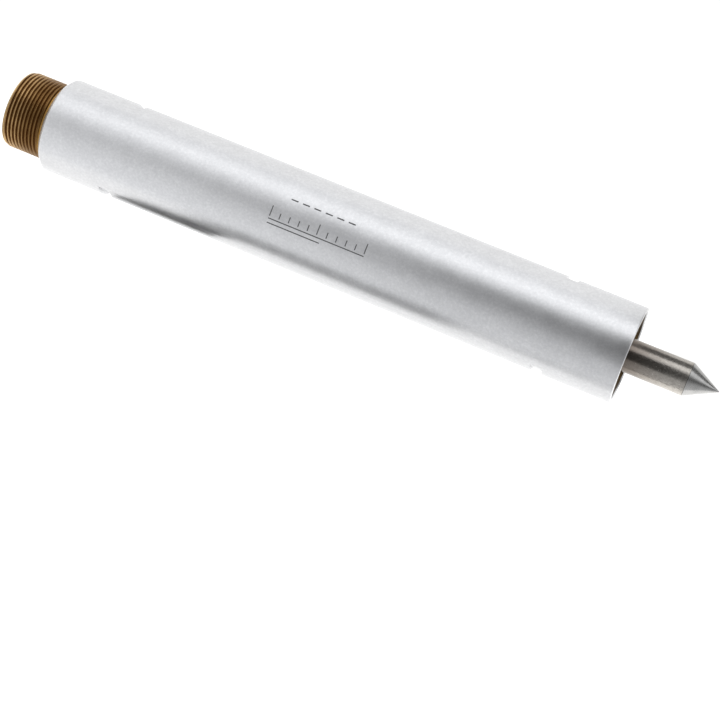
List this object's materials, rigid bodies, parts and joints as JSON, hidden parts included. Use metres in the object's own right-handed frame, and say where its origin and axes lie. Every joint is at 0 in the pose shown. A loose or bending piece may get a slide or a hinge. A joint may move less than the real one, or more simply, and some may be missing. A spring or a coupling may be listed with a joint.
{
  "type": "internal micrometer extension",
  "caption": "Chromed tube with a brass male thread at one end, a female thread at the other, wrench slots and a sprung sliding push rod with a conical tip.",
  "frame": {"origin": "on the tool's axis, midway between the male thread's end face and the cone's tip with the rod at rest", "axes": "+X along the axis from the male thread to the cone, +Z towards the marked side of the tube, wrench slots facing +Y and -Y"},
  "size_m": [0.1856, 0.024, 0.024],
  "materials": {
    "satin_chrome": "satin chrome, finely ground",
    "brass": "turned brass",
    "bronze": "reamed bearing bronze",
    "ground_steel": "ground steel",
    "hardened_steel": "hardened and ground",
    "zinc_steel": "zinc plated",
    "spring_steel": "drawn wire",
    "felt": "dense felt"
  },
  "bodies": {
    "housing": {"outer_tube": "satin_chrome", "male_thread_adapter": "brass", "female_thread_insert": "brass", "adapter_lock_pin": "hardened_steel", "insert_lock_pin": "hardened_steel", "rear_guide_bush": "bronze", "front_guide_bush": "bronze", "rear_wiper_ring": "felt", "front_wiper_ring": "felt", "rear_wiper_clip": "spring_steel", "front_wiper_clip": "spring_steel", "spring_seat_washer": "zinc_steel", "return_spring": "spring_steel"},
    "spring_follower": {"slip_washer": "bronze", "thrust_washer": "zinc_steel"},
    "push_rod": {"rod_shaft": "ground_steel", "cone_point": "hardened_steel", "rear_center": "hardened_steel", "rod_collar": "zinc_steel", "collar_pin": "hardened_steel"}
  },
  "joints": [
    {"name": "rod_slide", "type": "slide", "parent": "housing", "child": "spring_follower", "axis": [1, 0, 0], "range_m": [0, 0.0127], "stiffness_N_per_m": 325, "springref_m": -0.01, "deforming": ["return_spring"]},
    {"name": "rod_spin", "type": "hinge", "parent": "spring_follower", "child": "push_rod", "pos_m": [0, 0, 0], "axis": [1, 0, 0], "continuous": true}
  ]
}
